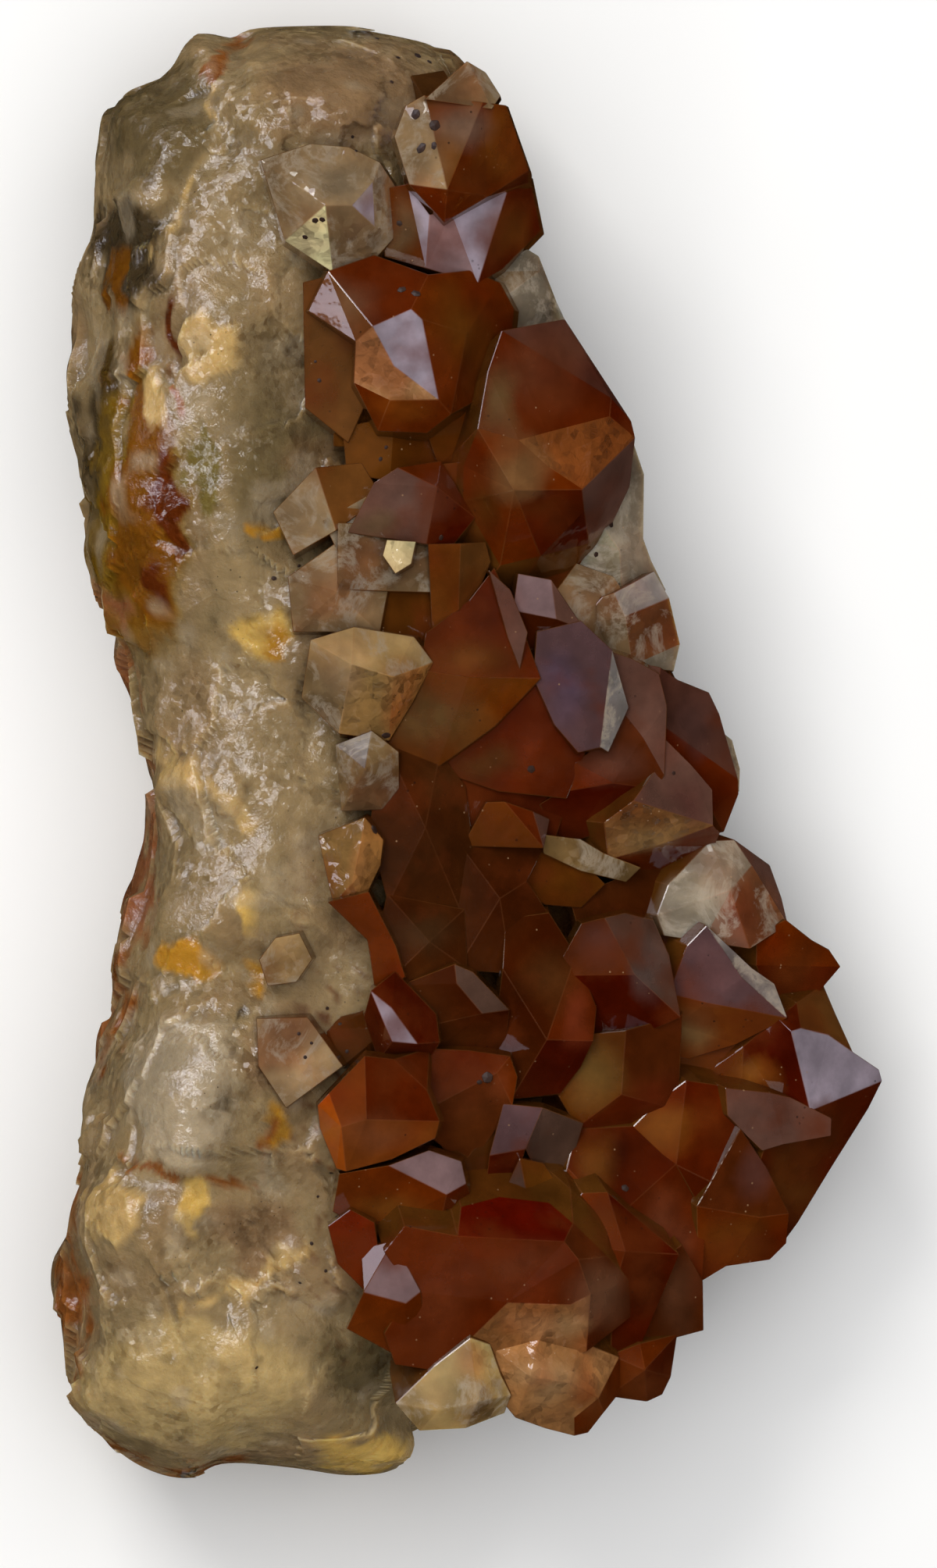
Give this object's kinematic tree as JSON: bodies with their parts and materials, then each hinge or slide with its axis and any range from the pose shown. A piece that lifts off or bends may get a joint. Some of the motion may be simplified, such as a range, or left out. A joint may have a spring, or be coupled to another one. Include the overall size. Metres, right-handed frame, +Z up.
{
  "type": "hematoid quartz cluster",
  "caption": "Natural quartz specimen lying on its back: a milky column with iron-stained, six-sided crystals grown out of its right flank.",
  "frame": {"origin": "on the ground under the middle of the bounding box", "axes": "+Y along the milky column to its upper end, +X to the side where the crystals grow, +Z up from the resting face"},
  "size_m": [0.0574, 0.1, 0.0365],
  "materials": {
    "quartz": "glassy crystal faces and a waxy broken column"
  },
  "bodies": {
    "root": {"quartz_cluster": "quartz"}
  },
  "joints": []
}
